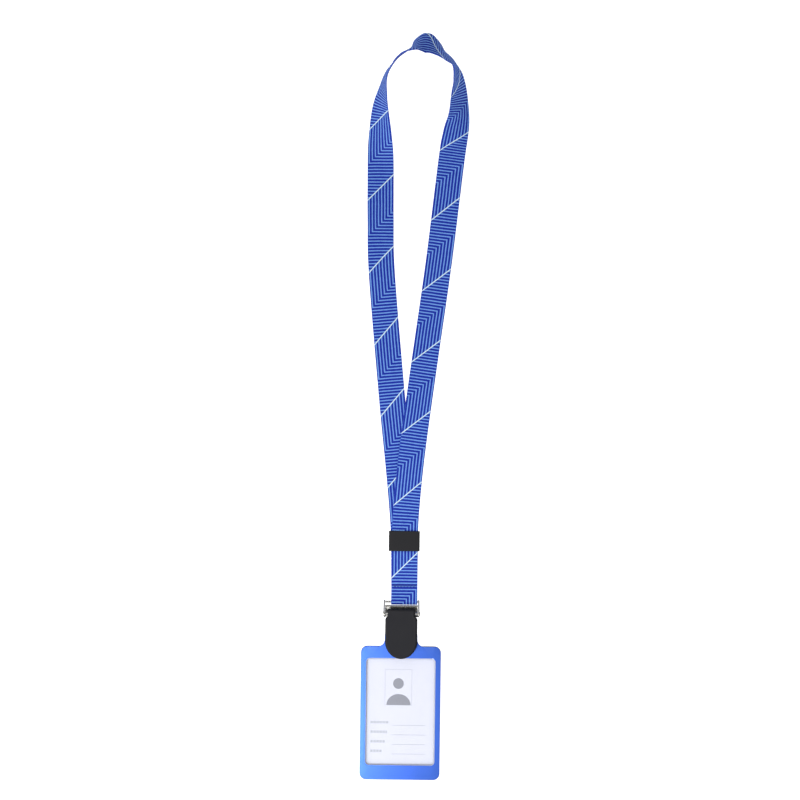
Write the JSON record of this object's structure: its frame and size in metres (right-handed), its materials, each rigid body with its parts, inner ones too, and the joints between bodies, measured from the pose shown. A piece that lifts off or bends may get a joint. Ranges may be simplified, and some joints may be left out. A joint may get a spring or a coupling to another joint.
{
  "type": "neck lanyard with card holder",
  "caption": "Neck lanyard: a flat ribbon loop with a slider, a lever clip and a rigid card holder with a sliding back.",
  "frame": {"origin": "centre of the card holder's back face, on the surface it lies on", "axes": "+Y up the holder and strap towards the neck loop, +Z out of the holder's front, +X to the right seen from the front"},
  "size_m": [0.0779, 0.5651, 0.0484],
  "materials": {
    "ribbon": "woven polyester with a printed line pattern",
    "thread": "polyester thread",
    "slider_plastic": "matte",
    "nickel": "bright nickel plate",
    "spring_steel": "plain",
    "flap_plastic": "matte, moulded",
    "pad_plastic": "matte",
    "holder_blue": "blasted and blue anodised",
    "liner_plastic": "matte",
    "clear_sheet": "clear film",
    "card": "satin printed card"
  },
  "bodies": {
    "strap": {"strap_ribbon": "ribbon", "seam_stitching": "thread"},
    "slider": {"slider_sleeve": "slider_plastic"},
    "clip": {"clip_base": "nickel", "hinge_pin": "nickel", "rear_pad": "pad_plastic", "holder_frame": "holder_blue", "window_liner": "liner_plastic", "clear_sheet": "clear_sheet", "catch_spring": "spring_steel"},
    "flap": {"flap_core": "spring_steel", "flap_cover": "flap_plastic"},
    "jaw": {"spring_jaw": "spring_steel", "front_pad": "pad_plastic"},
    "back": {"holder_back": "holder_blue"},
    "card": {"id_card": "card"}
  },
  "joints": [
    {"name": "clip_swing", "type": "hinge", "parent": "strap", "child": "clip", "pos_m": [0, 0.0847, 0.0022], "axis": [-1, 0, 0], "range_deg": [-80, 80]},
    {"name": "flap_lift", "type": "hinge", "parent": "clip", "child": "flap", "pos_m": [0, 0.076, 0.00825], "axis": [-1, 0, 0], "range_deg": [0, 100]},
    {"name": "jaw_open", "type": "hinge", "parent": "clip", "child": "jaw", "pos_m": [0, 0.0715, 0.001], "axis": [-1, 0, 0], "range_deg": [0, 8], "stiffness_Nm_per_rad": 0.00005, "springref_deg": 117.46},
    {"name": "back_slide", "type": "slide", "parent": "clip", "child": "back", "axis": [0, -1, 0], "range_m": [0, 0.09]},
    {"name": "card_slide", "type": "slide", "parent": "back", "child": "card", "axis": [0, -1, 0], "range_m": [0, 0.07]},
    {"name": "slider_slide", "type": "slide", "parent": "strap", "child": "slider", "axis": [0, -1, 0], "range_m": [-0.004, 0.021]}
  ],
  "couplings": [
    {"joint": "jaw_open", "follows": "flap_lift", "ratio": 0.08}
  ]
}
